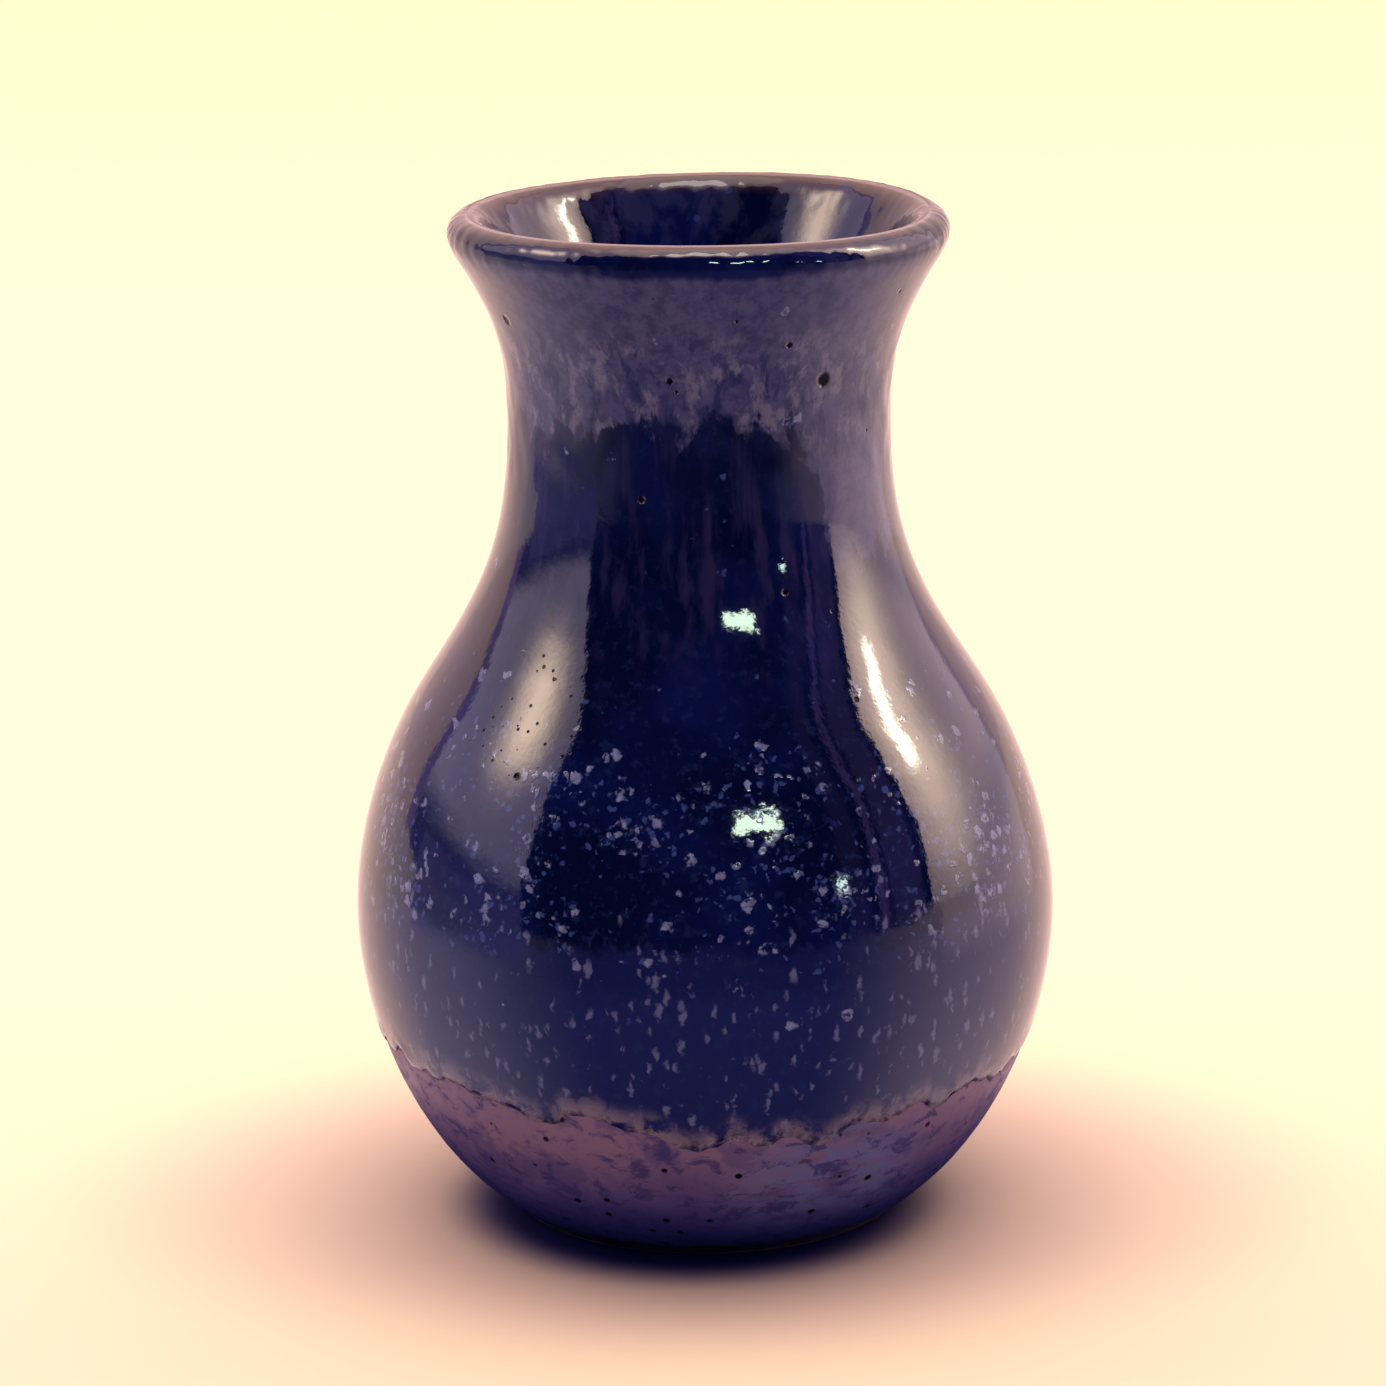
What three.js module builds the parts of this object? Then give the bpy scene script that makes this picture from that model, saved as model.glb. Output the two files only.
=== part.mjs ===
// A wheel-thrown stoneware vase: one fired clay body, and the three coats fused to it.
// Millimetres, +Z up, with the origin at the centre of the foot, on the surface that the vase stands on.
import * as THREE from "three";

// Driving dimensions. Radii and heights are those of the bare clay; the coats stand on it.
const CLAY_HEIGHT = 149.35;
const FOOT_RADIUS = 29.2; // outer edge of the ring that the vase stands on
const FOOT_RING_WIDTH = 5;
const FOOT_RECESS_DEPTH = 2.5; // turned out under the floor, inside the ring
const FOOT_BEVEL = 1.8; // trimmed off the outer edge of the ring, so that glaze can't reach the shelf
const BELLY_RADIUS = 51.4;
const BELLY_HEIGHT = 46.1;
const SHOULDER_RADIUS = 40.6;
const SHOULDER_HEIGHT = 80;
const NECK_RADIUS = 27.3;
const NECK_HEIGHT = 120.7;
const LIP_RADIUS = 35.7; // outermost edge of the rounded lip
const LIP_BEAD_RADIUS = 2.3; // half the lip's thickness

// Lean of the wall, in degrees: above the horizontal at the heel and lip, from the vertical at the shoulder.
const HEEL_RISE = 37;
const SHOULDER_LEAN = 34;
const LIP_RISE = 62;

// How far each stretch of wall holds its direction, as a share of the stretch's height.
const HEEL_FULLNESS = 0.36;
const BELLY_FULLNESS_BELOW = 0.4;
const BELLY_FULLNESS_ABOVE = 0.28;
const SHOULDER_FULLNESS_BELOW = 0.37;
const SHOULDER_FULLNESS_ABOVE = 0.41;
const NECK_FULLNESS_BELOW = 0.46;
const NECK_FULLNESS_ABOVE = 0.53;
const LIP_FULLNESS = 0.33;

// The clay's thickness, square to its outer face, and the bowl that the inside ends in.
const BASE_WALL = 8;
const BELLY_WALL = 4.8;
const NECK_WALL = 5;
const FLOOR_THICKNESS = 6; // at the centre, over the recess
const BOWL_TOP = 20; // the inside follows the outside down to here, then curves in to the floor
const BOWL_FULLNESS = 0.8; // share of the drop to the floor before the curve turns level
const BOWL_FLAT = 0.5; // share of the bowl's radius that is near level

// The coats.
const GLAZE_THICKNESS = 0.6; // outside, gloss
const LINER_THICKNESS = 0.5; // inside, gloss
const WASH_THICKNESS = 0.25; // satin iron wash under the glaze line
const GLAZE_LINE_HEIGHT = 28; // where the outer glaze stops on the lower wall
const COAT_CLEARANCE = 0.05; // between a coat and the clay that it is fused to
const SEAM_CLEARANCE = 0.3; // between the ends of two coats

const LATHE_STEPS = 36; // facets round the vase
const STRETCH_STEPS = 6; // facets up each stretch of the wall
const LIP_STEPS = 6; // facets over the lip
const BOWL_STEPS = 5; // facets from the inside wall to the centre of the floor

const MATERIALS = {
  clay: { color: 0x5b4450, roughness: 0.85, metalness: 0 },
  glaze: { color: 0x141a45, roughness: 0.08, metalness: 0 },
  liner: { color: 0x181d4a, roughness: 0.1, metalness: 0 },
  wash: { color: 0x4a3552, roughness: 0.45, metalness: 0 },
};

const point = (radius, height) => new THREE.Vector2(radius, height);
const rising = (degrees) => {
  const angle = THREE.MathUtils.degToRad(degrees);
  return point(Math.cos(angle), Math.sin(angle));
};
const along = (start, direction, distance) =>
  start.clone().addScaledVector(direction, distance);
const squareOut = (direction) => point(direction.y, -direction.x);

// One stretch of the wall, leaving start along one direction and reaching end along another.
function stretch(start, startDirection, startShare, end, endDirection, endShare) {
  const height = end.y - start.y;
  return new THREE.CubicBezierCurve(
    start,
    along(start, startDirection, startShare * height),
    along(end, endDirection, -endShare * height),
    end,
  );
}

// The outer face of the clay, from the top of the foot's bevel up to where the lip's round begins.
function outerWall() {
  const up = point(0, 1);
  const lipDirection = rising(LIP_RISE);
  const heel = point(FOOT_RADIUS + FOOT_BEVEL, FOOT_BEVEL);
  const belly = point(BELLY_RADIUS, BELLY_HEIGHT);
  const shoulder = point(SHOULDER_RADIUS, SHOULDER_HEIGHT);
  const shoulderDirection = rising(90 + SHOULDER_LEAN);
  const neck = point(NECK_RADIUS, NECK_HEIGHT);
  const lip = along(lipCentre(), squareOut(lipDirection), LIP_BEAD_RADIUS);
  const stretches = [
    stretch(heel, rising(HEEL_RISE), HEEL_FULLNESS, belly, up, BELLY_FULLNESS_BELOW),
    stretch(belly, up, BELLY_FULLNESS_ABOVE, shoulder, shoulderDirection, SHOULDER_FULLNESS_BELOW),
    stretch(shoulder, shoulderDirection, SHOULDER_FULLNESS_ABOVE, neck, up, NECK_FULLNESS_BELOW),
    stretch(neck, up, NECK_FULLNESS_ABOVE, lip, lipDirection, LIP_FULLNESS),
  ];
  const points = stretches.flatMap((curve) => curve.getPoints(STRETCH_STEPS).slice(0, -1));
  return [...points, lip];
}

function lipCentre() {
  return point(LIP_RADIUS - LIP_BEAD_RADIUS, CLAY_HEIGHT - LIP_BEAD_RADIUS);
}

// A half circle over the lip, from the outer wall to the inner one. Its ends belong to the walls.
function lipRound() {
  const centre = lipCentre();
  const points = [];
  for (let step = 1; step < LIP_STEPS; step++) {
    const direction = rising(LIP_RISE - 90 + (180 * step) / LIP_STEPS);
    points.push(along(centre, direction, LIP_BEAD_RADIUS));
  }
  return points;
}

// The points of an open outline, each moved square to it by its own distance. Positive is to the right
// of the way that the outline runs.
function offset(outline, distanceAt) {
  return outline.map((here, index) => {
    const before = outline[Math.max(index - 1, 0)];
    const after = outline[Math.min(index + 1, outline.length - 1)];
    const direction = after.clone().sub(before).normalize();
    return along(here, squareOut(direction), distanceAt(here));
  });
}

// The wall's thickness at a height, straight-line between the heights where it is set.
function wallThickness({ y }) {
  const known = [
    [0, BASE_WALL],
    [BELLY_HEIGHT, BELLY_WALL],
    [NECK_HEIGHT, NECK_WALL],
    [lipCentre().y, 2 * LIP_BEAD_RADIUS],
  ];
  const next = Math.max(known.findIndex(([height]) => height >= y), 1);
  const [[lowHeight, low], [highHeight, high]] = [known[next - 1], known[next]];
  return THREE.MathUtils.mapLinear(y, lowHeight, highHeight, low, high);
}

// Part of an outline that climbs, between two heights.
function between(outline, lowest, highest) {
  const cut = (height) => {
    const above = outline.findIndex(({ y }) => y > height);
    const [a, b] = [outline[above - 1], outline[above]];
    return a.clone().lerp(b, (height - a.y) / (b.y - a.y));
  };
  const first = lowest > outline[0].y ? cut(lowest) : outline[0];
  const last = highest < outline.at(-1).y ? cut(highest) : outline.at(-1);
  const middle = outline.filter(({ y }) => y > first.y && y < last.y);
  return [first, ...middle, last];
}

// The inner face of the clay, from the lip down to the centre of the floor.
function innerFace(wall) {
  const inside = offset(wall, (at) => -wallThickness(at)).filter(({ y }) => y > BOWL_TOP);
  inside.reverse();
  const edge = inside.at(-1);
  const lean = edge.clone().sub(inside.at(-2)).normalize();
  const centre = point(0, FOOT_RECESS_DEPTH + FLOOR_THICKNESS);
  const bowl = new THREE.CubicBezierCurve(
    edge,
    along(edge, lean, (BOWL_FULLNESS * (edge.y - centre.y)) / -lean.y),
    point(BOWL_FLAT * edge.x, centre.y),
    centre,
  );
  return [...inside, ...bowl.getPoints(BOWL_STEPS).slice(1)];
}

// The underside, from the centre of the recess out to the edge that the vase stands on.
function underside() {
  const ringInside = FOOT_RADIUS - FOOT_RING_WIDTH;
  return [
    point(0, FOOT_RECESS_DEPTH),
    point(ringInside - FOOT_RECESS_DEPTH, FOOT_RECESS_DEPTH),
    point(ringInside, 0),
    point(FOOT_RADIUS, 0),
  ];
}

// The two faces of a coat on an outline of the clay: the one against the clay, and its own surface.
// A coat that reaches the axis ends on it.
function coat(outline, thickness) {
  const againstClay = offset(outline, () => COAT_CLEARANCE);
  const surface = offset(outline, () => COAT_CLEARANCE + thickness);
  return [againstClay, surface].map((line) => line.map((at) => at.setX(Math.max(at.x, 0))));
}

function turned(name, profile, material) {
  const geometry = new THREE.LatheGeometry(profile, LATHE_STEPS).rotateX(Math.PI / 2);
  const mesh = new THREE.Mesh(geometry, new THREE.MeshStandardMaterial(material));
  mesh.name = name;
  return mesh;
}

function clayBody(wall) {
  const profile = [...underside(), ...wall, ...lipRound(), ...innerFace(wall)];
  return turned("clay_body", profile, MATERIALS.clay);
}

// Where a coat ends at the lip's crest, half a seam to its outer (1) or inner (-1) side.
function crestEnd(side) {
  return point(lipCentre().x + (side * SEAM_CLEARANCE) / 2, CLAY_HEIGHT);
}

// The points of the lip's round on one side of its crest, clear of the seam.
function lipHalf(side) {
  const { x: end } = crestEnd(side);
  return lipRound().filter(({ x }) => side * (x - end) > 0);
}

// A coat that goes round the vase without reaching its axis.
function band(name, outline, thickness, material) {
  const [againstClay, surface] = coat(outline, thickness);
  const profile = [...surface, ...againstClay.reverse()];
  return turned(name, [...profile, profile[0].clone()], material);
}

function outerGlaze(wall) {
  const outline = [...between(wall, GLAZE_LINE_HEIGHT, CLAY_HEIGHT), ...lipHalf(1), crestEnd(1)];
  return band("outer_glaze", outline, GLAZE_THICKNESS, MATERIALS.glaze);
}

function baseWash(wall) {
  const top = GLAZE_LINE_HEIGHT - SEAM_CLEARANCE;
  return band("base_wash", between(wall, FOOT_BEVEL, top), WASH_THICKNESS, MATERIALS.wash);
}

function linerGlaze(wall) {
  const outline = [crestEnd(-1), ...lipHalf(-1), ...innerFace(wall)];
  const [againstClay, surface] = coat(outline, LINER_THICKNESS);
  return turned("liner_glaze", [...againstClay.reverse(), ...surface], MATERIALS.liner);
}

const wall = outerWall();
const vase = new THREE.Group();
vase.add(clayBody(wall), baseWash(wall), outerGlaze(wall), linerGlaze(wall));

export default vase;
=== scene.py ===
"""The looks of the stoneware vase: its clay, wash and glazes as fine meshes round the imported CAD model.

Lengths are in metres and angles in radians. MM and DEG turn the millimetres and degrees that are easier to
read into them. An azimuth runs round the vase from -Y, the side that faces the camera, towards +X on its
right. A place on the wall is a distance along the clay's face, and a depth is a height above that face.
"""
import math

import bpy
import numpy as np
from mathutils import Euler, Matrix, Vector, noise

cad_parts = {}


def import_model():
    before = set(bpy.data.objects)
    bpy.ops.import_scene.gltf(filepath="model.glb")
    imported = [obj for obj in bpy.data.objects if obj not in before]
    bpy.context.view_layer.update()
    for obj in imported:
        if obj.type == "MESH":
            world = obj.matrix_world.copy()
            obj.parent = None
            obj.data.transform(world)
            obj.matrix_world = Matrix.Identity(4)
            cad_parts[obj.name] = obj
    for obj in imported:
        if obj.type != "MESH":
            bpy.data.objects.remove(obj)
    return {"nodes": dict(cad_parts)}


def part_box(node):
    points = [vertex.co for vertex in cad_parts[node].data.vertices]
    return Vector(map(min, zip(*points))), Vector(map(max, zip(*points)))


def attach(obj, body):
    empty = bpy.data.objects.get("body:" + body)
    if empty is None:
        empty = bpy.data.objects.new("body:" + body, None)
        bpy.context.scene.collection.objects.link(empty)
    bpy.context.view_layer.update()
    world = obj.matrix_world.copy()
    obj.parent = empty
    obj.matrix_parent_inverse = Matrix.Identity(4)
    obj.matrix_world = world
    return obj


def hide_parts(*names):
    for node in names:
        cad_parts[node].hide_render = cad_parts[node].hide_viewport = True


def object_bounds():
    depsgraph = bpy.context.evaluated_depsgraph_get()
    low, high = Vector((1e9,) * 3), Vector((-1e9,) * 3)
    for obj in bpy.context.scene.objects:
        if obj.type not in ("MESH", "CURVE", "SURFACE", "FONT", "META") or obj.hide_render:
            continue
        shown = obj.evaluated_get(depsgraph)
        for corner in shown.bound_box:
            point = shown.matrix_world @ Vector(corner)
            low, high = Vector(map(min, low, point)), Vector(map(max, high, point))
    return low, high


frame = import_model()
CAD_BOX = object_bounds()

MM = 0.001
DEG = math.pi / 180

VASE_HEIGHT = CAD_BOX[1].z
GLAZE_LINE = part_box("outer_glaze")[0].z
WASH_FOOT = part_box("base_wash")[0].z

# The coats' faces, above the clay.
COAT_BACK = 0.06 * MM
WASH_DEPTH = 0.28 * MM
GLAZE_BACK_ON_WASH = 0.33 * MM
GLAZE_DEPTH = 0.65 * MM
LINER_DEPTH = 0.55 * MM
CREST_GAP = 0.02 * MM # between the two glazes, on top of the lip
THINNEST_WASH = COAT_BACK + 0.02 * MM
WASH_TUCK = 5 * MM # how far the wash runs up under the glaze

# How far the thrown form is from a true turned one, at its top.
OVAL = 0.0035
LEAN_ACROSS, LEAN_FORTH = 0.25 * MM, 0.2 * MM
RIM_WAVE = 0.22 * MM

# The sag of the glaze's lower edge, lowest a little to the right of the front.
EDGE_SAG, SAG_AZIMUTH, SAG_NARROWNESS = 4.6 * MM, 12 * DEG, 2.3

# Facets round each piece, and up its face.
GLAZE_COLUMNS, GLAZE_ROWS = 456, 194
LINER_COLUMNS, LINER_ROWS = 360, 190
WASH_COLUMNS, WASH_ROWS = 456, 72
CLAY_COLUMNS, CLAY_ROWS = 256, 110
BACK_ROWS = 24
POLE_GAP = 0.4 * MM # from a mesh's last ring to its pole, inside on the floor


# ---------------------------------------------------------------------------------------------------------
# The wall, read from the CAD section
# ---------------------------------------------------------------------------------------------------------

def section(node):
    """A turned node's outline at y = 0, x >= 0, as (radius, height), from its lower end on the axis."""
    mesh = frame["nodes"][node].data
    place, joined = {}, {}
    for edge in mesh.edges:
        ends = [mesh.vertices[i].co for i in edge.vertices]
        if all(abs(end.y) < 1e-6 and end.x > -1e-6 for end in ends):
            a, b = [(round(end.x, 5), round(end.z, 5)) for end in ends]
            if a != b:
                place[a], place[b] = (ends[0].x, ends[0].z), (ends[1].x, ends[1].z)
                joined.setdefault(a, set()).add(b)
                joined.setdefault(b, set()).add(a)
    here = min((point for point in joined if len(joined[point]) == 1), key=lambda point: point[1])
    order = [here]
    while True:
        onward = joined[here] - set(order)
        if not onward:
            return np.array([place[point] for point in order])
        here = onward.pop()
        order.append(here)


def smooth_curve(points, step):
    """Points a step apart on the natural cubic spline through the given ones."""
    knots = np.concatenate([[0], np.cumsum(np.linalg.norm(np.diff(points, axis=0), axis=1))])
    gap = np.diff(knots)
    slope = np.diff(points, axis=0) / gap[:, None]
    system, right = np.eye(len(points)), np.zeros(points.shape)
    for i in range(1, len(points) - 1):
        system[i, i - 1 : i + 2] = gap[i - 1], 2 * (gap[i - 1] + gap[i]), gap[i]
        right[i] = 6 * (slope[i] - slope[i - 1])
    bend = np.linalg.solve(system, right)
    along = np.linspace(0, knots[-1], int(knots[-1] / step) + 1)
    i = np.clip(np.searchsorted(knots, along, side="right") - 1, 0, len(gap) - 1)
    t, h = (along - knots[i])[:, None], gap[i][:, None]
    start = slope[i] - h * (2 * bend[i] + bend[i + 1]) / 6
    return points[i] + t * start + t**2 * bend[i] / 2 + t**3 * (bend[i + 1] - bend[i]) / (6 * h)


class Wall:
    """The clay's face: from the heel up the outside, over the lip and down the inside to the floor."""

    def __init__(self, points):
        past_the_axis = points[-2] * (-1, 1)
        curve = smooth_curve(np.vstack([points, past_the_axis]), 0.1 * MM)
        self.points = curve[curve[:, 0] > 0]
        steps = np.linalg.norm(np.diff(self.points, axis=0), axis=1)
        self.along = np.concatenate([[0], np.cumsum(steps)])
        tangent = np.gradient(self.points, self.along, axis=0)
        tangent /= np.linalg.norm(tangent, axis=1)[:, None]
        self.normals = np.stack([tangent[:, 1], -tangent[:, 0]], axis=1)
        self.crest = self.along[np.argmax(self.points[:, 1])]
        self.end = self.along[-1]

    def at(self, place, depth=0.0):
        """Radius and height of places on the wall."""
        radius, height, out, up = (
            np.interp(place, self.along, values) for values in (*self.points.T, *self.normals.T)
        )
        return np.maximum(radius + depth * out, 0), height + depth * up

    def outside(self, height):
        """The place where the outside reaches a height."""
        outside = self.along <= self.crest
        return np.interp(height, self.points[outside, 1], self.along[outside])


CLAY = section("clay_body")
FOOT_EDGE = max(i for i, point in enumerate(CLAY) if point[1] < 0.01 * MM)
WALL = Wall(CLAY[FOOT_EDGE + 1 :])


# ---------------------------------------------------------------------------------------------------------
# Relief
# ---------------------------------------------------------------------------------------------------------

def lumps(points, size, seed):
    """Smooth noise from about -1 to 1, with lumps of a size: one number, or one for each axis."""
    places = points.reshape(-1, 3) / size + 31.7 * seed
    return np.array([noise.noise(place) for place in places.tolist()]).reshape(points.shape[:-1])


def smooth_step(value, low, high):
    """Turns smoothly from 0 to 1 as a value goes from low to high."""
    t = np.clip((value - low) / (high - low), 0, 1)
    return t * t * (3 - 2 * t)


def azimuths(columns):
    """Evenly spaced azimuths, all round."""
    return np.arange(columns) * 2 * math.pi / columns


def around(radius, height, azimuth):
    """Points from radii and heights that broadcast against the azimuths."""
    shape = np.broadcast_shapes(radius.shape, height.shape, azimuth.shape)
    values = (radius * np.sin(azimuth), -radius * np.cos(azimuth), height)
    return np.stack([np.broadcast_to(value, shape) for value in values], axis=-1)


def round_the_vase(azimuth, size, seed):
    """Noise along a ring of the belly's radius."""
    radius = np.full(azimuth.shape, CAD_BOX[1].x)
    return lumps(around(radius, np.zeros(azimuth.shape), azimuth), size, seed)


def hand_thrown(points):
    """Leans the true turned shape a little, makes it a little oval and its rim a little uneven."""
    x, y, z = np.moveaxis(points, -1, 0)
    rise = np.clip(z / VASE_HEIGHT, 0, 1)
    azimuth = np.arctan2(x, -y)
    oval = 1 + OVAL * np.cos(2 * azimuth + 2.4 * rise + 0.5) * rise
    lean_x = LEAN_ACROSS * np.sin(2.6 * math.pi * rise) * rise
    lean_y = LEAN_FORTH * np.sin(2.1 * math.pi * rise + 0.8) * rise
    rim_wave = RIM_WAVE * (np.cos(2 * azimuth + 0.9) + 0.5 * np.cos(3 * azimuth - 0.4)) * rise**4
    return np.stack([x * oval + lean_x, y * oval + lean_y, z + rim_wave], axis=-1)


def throwing_rings(points):
    """The potter's finger marks: one shallow spiral up the wall, stronger in some places than others."""
    x, y, z = np.moveaxis(points, -1, 0)
    turn = np.arctan2(x, -y) / (2 * math.pi)
    pitch = 5.2 * MM
    wander = 0.25 * lumps(points, 22 * MM, seed=1)
    strength = 0.5 + 0.5 * lumps(points, 30 * MM, seed=2)
    return 0.010 * MM * strength * np.sin(2 * math.pi * (z / pitch + turn + wander))


def glaze_relief(points):
    """How far the fired glaze stands above or below its even face."""
    z = points[..., 2]
    neck = smooth_step(z, 92 * MM, 118 * MM) * (1 - smooth_step(z, 136 * MM, 145 * MM))
    waist = smooth_step(z, 106 * MM, 118 * MM) * (1 - smooth_step(z, 126 * MM, 138 * MM))
    lip = smooth_step(z, 143 * MM, 147 * MM)
    runs = (0.005 + 0.03 * neck) * MM * lumps(points, np.array([3.2, 3.2, 11]) * MM, seed=3)
    curds = (0.004 + 0.12 * waist) * MM * lumps(points, np.array([3.0, 3.0, 4.6]) * MM, seed=4)
    crumbs = 0.15 * MM * lip * lumps(points, 1.7 * MM, seed=7)
    swell = 0.10 * MM * lumps(points, 17 * MM, seed=5)
    peel = 0.012 * MM * lumps(points, 2.6 * MM, seed=6)
    return throwing_rings(points) + swell + peel + runs + curds + crumbs


# ---------------------------------------------------------------------------------------------------------
# Meshes
# ---------------------------------------------------------------------------------------------------------

def turned_piece(name, rings, poles=False):
    """A closed mesh from rings of points. The last ring joins the first, or both ends close on poles."""
    rows, columns = rings.shape[:2]
    points = rings.reshape(-1, 3)
    column = np.arange(columns)
    after = (column + 1) % columns
    last = rows - 1 if poles else rows
    faces = []
    for row in range(last):
        a, b = row * columns, (row + 1) % rows * columns
        faces.append(np.stack([a + column, a + after, b + after, b + column], axis=1))
    faces = np.concatenate(faces).tolist()
    if poles:
        ends = rings[[0, -1]].mean(axis=1)
        points = np.vstack([points, ends])
        start, end = rows * columns, rows * columns + 1
        top = (rows - 1) * columns
        faces += [[start, int(b), int(a)] for a, b in zip(column, after)]
        faces += [[end, int(top + a), int(top + b)] for a, b in zip(column, after)]
    mesh = bpy.data.meshes.new(name)
    mesh.from_pydata(points.tolist(), [], faces)
    mesh.shade_smooth()
    piece = bpy.data.objects.new(name, mesh)
    bpy.context.scene.collection.objects.link(piece)
    return piece


def store(piece, name, values):
    """Keeps a number for each point of a mesh, for its material to read."""
    attribute = piece.data.attributes.new(name, "FLOAT", "POINT")
    full = np.zeros(len(piece.data.vertices), dtype=np.float32)
    full[: values.size] = values.ravel()
    attribute.data.foreach_set("value", full)


def spaced(count, first):
    """Shares from 0 to 1 that start a small first step apart and soon reach an even spacing."""
    steps = np.minimum(first * 1.35 ** np.arange(count), 1.0)
    shares = np.concatenate([[0], np.cumsum(steps)])
    return shares / shares[-1]


# ---------------------------------------------------------------------------------------------------------
# Pieces
# ---------------------------------------------------------------------------------------------------------

def glaze_edge(azimuth):
    """Height of the outer glaze's ragged lower edge."""
    broad = 1.6 * MM * round_the_vase(azimuth, 26 * MM, seed=11)
    ragged = 2.4 * MM * round_the_vase(azimuth, 5.5 * MM, seed=12)
    fine = 0.7 * MM * round_the_vase(azimuth, 1.9 * MM, seed=13)
    sag = EDGE_SAG * np.exp(SAG_NARROWNESS * (np.cos(azimuth - SAG_AZIMUTH) - 1))
    return GLAZE_LINE + 0.8 * MM - sag + broad + ragged + fine


def outer_glaze():
    """The gloss coat outside, from a rolled and ragged edge on the lower wall up to the lip's crest."""
    azimuth = azimuths(GLAZE_COLUMNS)
    edge = WALL.outside(glaze_edge(azimuth))
    length = WALL.crest - CREST_GAP / 2 - edge
    share = spaced(GLAZE_ROWS, 0.12)[:, None]
    place = edge + share * length
    from_edge = place - edge
    roll = np.sqrt(1 - (1 - np.clip(from_edge / (1.8 * MM), 0, 1)) ** 2)
    fat = 0.06 + 0.08 * round_the_vase(azimuth, 7 * MM, seed=14)
    bead = fat * MM * np.exp(-(((from_edge - 1.5 * MM) / (1.3 * MM)) ** 2))
    even = GLAZE_BACK_ON_WASH + (GLAZE_DEPTH - GLAZE_BACK_ON_WASH + bead) * roll
    relief = glaze_relief(around(*WALL.at(place), azimuth))
    fade = smooth_step(WALL.crest - place, 0, 1.2 * MM) * roll
    surface = around(*WALL.at(place, even + relief * fade), azimuth)

    share = np.linspace(1, 0, BACK_ROWS)[:-1, None]
    place = edge + share * length
    lift = smooth_step(place - WALL.outside(GLAZE_LINE + WASH_TUCK), 0.5 * MM, 4 * MM)
    depth = GLAZE_BACK_ON_WASH + (COAT_BACK - GLAZE_BACK_ON_WASH) * lift
    back = around(*WALL.at(place, depth), azimuth)
    piece = turned_piece("outer_glaze_coat", hand_thrown(np.concatenate([surface, back])))
    store(piece, "from_edge", from_edge)
    return piece


def liner_relief(points):
    """The liner's unevenness, and the same crumbs on the lip as the outer glaze's."""
    swell = 0.12 * MM * lumps(points, 14 * MM, seed=21)
    peel = 0.007 * MM * lumps(points, 2.6 * MM, seed=22)
    lip = smooth_step(points[..., 2], 144 * MM, 148 * MM)
    crumbs = 0.12 * MM * lip * lumps(points, 1.7 * MM, seed=7)
    return 2 * throwing_rings(points) + swell + peel + crumbs


def liner_glaze():
    """The gloss coat inside, from the lip's crest to the middle of the floor."""
    azimuth = azimuths(LINER_COLUMNS)
    start = WALL.crest + CREST_GAP / 2
    place = np.linspace(start, WALL.end - POLE_GAP, LINER_ROWS)[:, None]
    near_crest = 1 - smooth_step(place - start, 0, 1.5 * MM)
    even = LINER_DEPTH + (GLAZE_DEPTH - LINER_DEPTH) * near_crest
    fade = (1 - near_crest) * smooth_step(WALL.end - place, 0, 8 * MM)
    relief = liner_relief(around(*WALL.at(place), azimuth))
    surface = around(*WALL.at(place, even + relief * fade), azimuth)
    place = np.linspace(WALL.end - POLE_GAP, start, BACK_ROWS * 2)[:, None]
    back = around(*WALL.at(place, COAT_BACK), azimuth)
    return turned_piece("liner_glaze_coat", hand_thrown(np.concatenate([back, surface])), poles=True)


def wash_relief(points):
    """Brush drag round the base, grains and pock marks in the thin wash."""
    drag = lumps(points, np.array([9, 9, 1.6]) * MM, seed=31)
    grain = lumps(points, 1.2 * MM, seed=32)
    pocks = smooth_step(lumps(points, 2.4 * MM, seed=33), 0.35, 0.6)
    return 0.03 * MM * drag + 0.012 * MM * grain - 0.06 * MM * pocks


def base_wash():
    """The thin satin wash below the glaze, which runs up a little way under it."""
    azimuth = azimuths(WASH_COLUMNS)
    low = WALL.outside(WASH_FOOT + 0.7 * MM + 0.5 * MM * round_the_vase(azimuth, 4 * MM, seed=34))
    high = WALL.outside(GLAZE_LINE + WASH_TUCK)
    share = np.linspace(0, 1, WASH_ROWS)[:, None]
    place = low + share * (high - low)
    start = smooth_step(place - low, -0.1 * MM, 0.9 * MM)
    open_part = start * (1 - smooth_step(place, high - WASH_TUCK - 1 * MM, high - WASH_TUCK + 1 * MM))
    relief = wash_relief(around(*WALL.at(place), azimuth)) * open_part
    depth = THINNEST_WASH + (WASH_DEPTH - THINNEST_WASH) * start + relief
    surface = around(*WALL.at(place, np.maximum(depth, THINNEST_WASH)), azimuth)
    place = low + np.linspace(1, 0, BACK_ROWS)[:, None] * (high - low)
    back = around(*WALL.at(place, COAT_BACK * 0.7), azimuth)
    return turned_piece("base_wash_coat", hand_thrown(np.concatenate([surface, back])))


def rounded_underside():
    """The foot's outline from the axis to the heel, with its turned corners softened."""
    corners = CLAY[: FOOT_EDGE + 2]
    knots = np.concatenate([[0], np.cumsum(np.linalg.norm(np.diff(corners, axis=0), axis=1))])
    along = np.arange(0, knots[-1], 0.1 * MM)
    line = np.stack([np.interp(along, knots, values) for values in corners.T], axis=1)
    blurred = 9 # points, for each one along the line
    padded = np.pad(line, ((blurred // 2, blurred // 2), (0, 0)), mode="edge")
    kernel = np.ones(blurred) / blurred
    soft = np.stack([np.convolve(values, kernel, "valid") for values in padded.T], axis=1)
    return np.vstack([soft[2:-4:3], corners[-1:]])


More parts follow.
